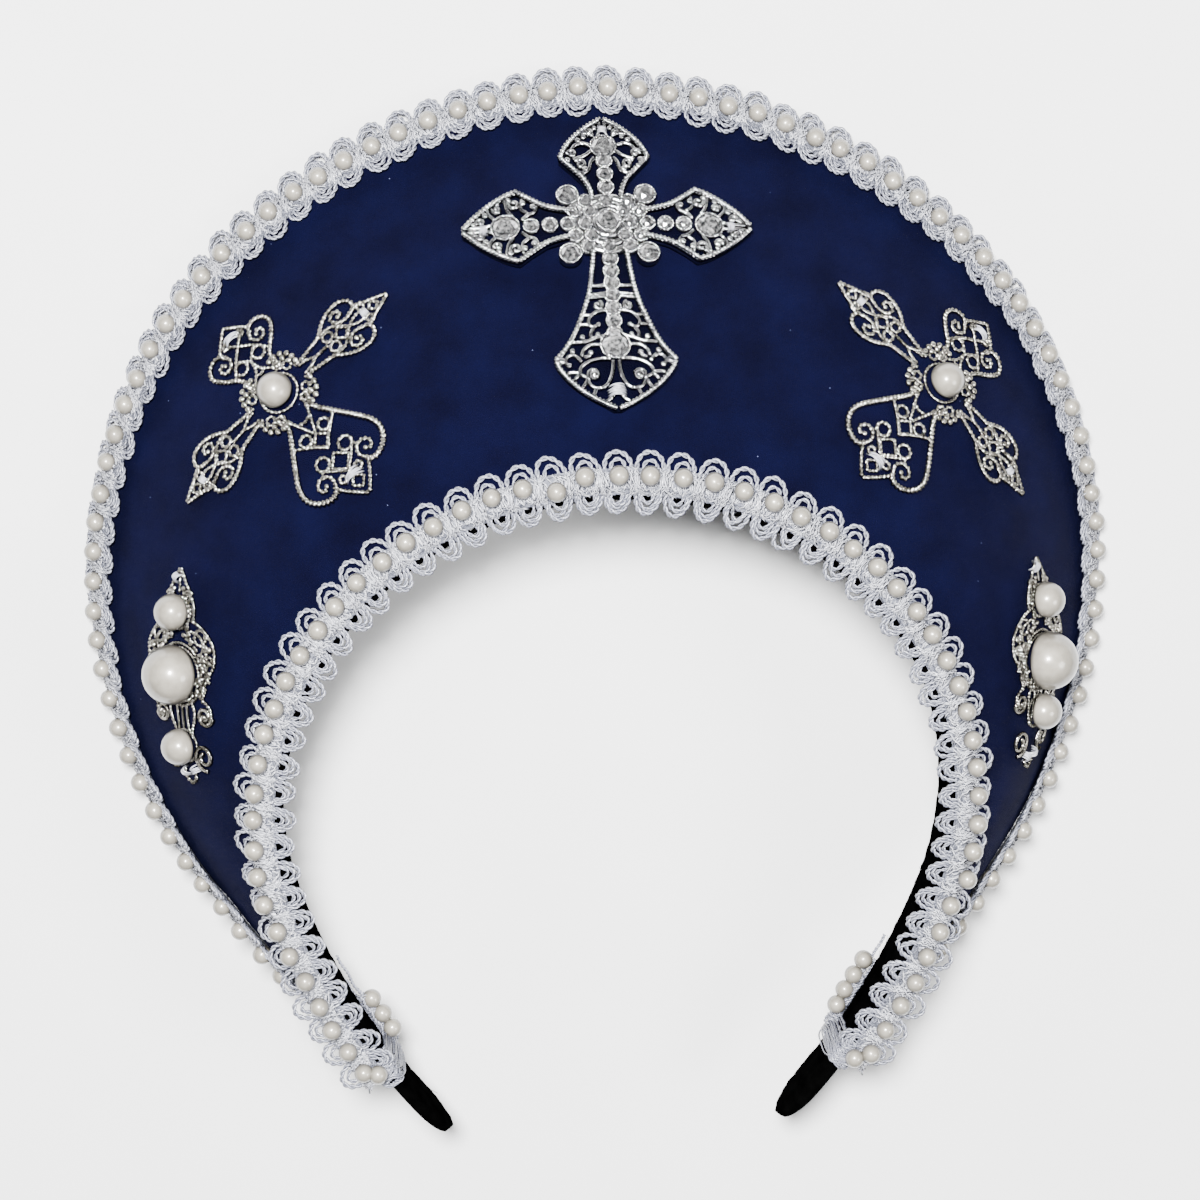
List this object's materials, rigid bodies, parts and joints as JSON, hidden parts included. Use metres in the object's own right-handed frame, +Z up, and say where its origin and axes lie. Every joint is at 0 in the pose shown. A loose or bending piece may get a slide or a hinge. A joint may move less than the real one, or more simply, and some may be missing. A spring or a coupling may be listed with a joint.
{
  "type": "french hood",
  "caption": "Crescent-shaped velvet headdress on a curved headband, edged with pearl braid and set with crosses and jewelled side ornaments.",
  "frame": {"origin": "centre of the part's box in plan, on the surface that the rim rests on", "axes": "+Z up from that surface towards the face side, +Y towards the crown, +X to the right as seen from the front"},
  "size_m": [0.2254, 0.2288, 0.0583],
  "materials": {
    "velvet": "dark navy velvet, matt with a soft sheen at the edges",
    "band_cloth": "black woven cloth, matt",
    "braid": "white rayon gimp, silky",
    "pearl": "ivory imitation pearl, glossy",
    "antique_silver": "antique silver plate, darkened in the hollows",
    "bright_silver": "bright silver plate set with clear stones"
  },
  "bodies": {
    "root": {"headband": "band_cloth", "crescent_panel": "velvet", "face_trim": "braid", "rim_trim": "braid", "rim_pearls": "pearl", "binding_left": "braid", "binding_right": "braid", "centre_cross": "bright_silver", "filigree_cross_left": "antique_silver", "filigree_cross_right": "antique_silver", "cross_pearl_left": "pearl", "cross_pearl_right": "pearl", "side_filigree_left": "antique_silver", "side_filigree_right": "antique_silver", "side_pearl_top_left": "pearl", "side_pearl_top_right": "pearl", "side_pearl_big_left": "pearl", "side_pearl_big_right": "pearl", "side_pearl_low_left": "pearl", "side_pearl_low_right": "pearl"}
  },
  "joints": []
}
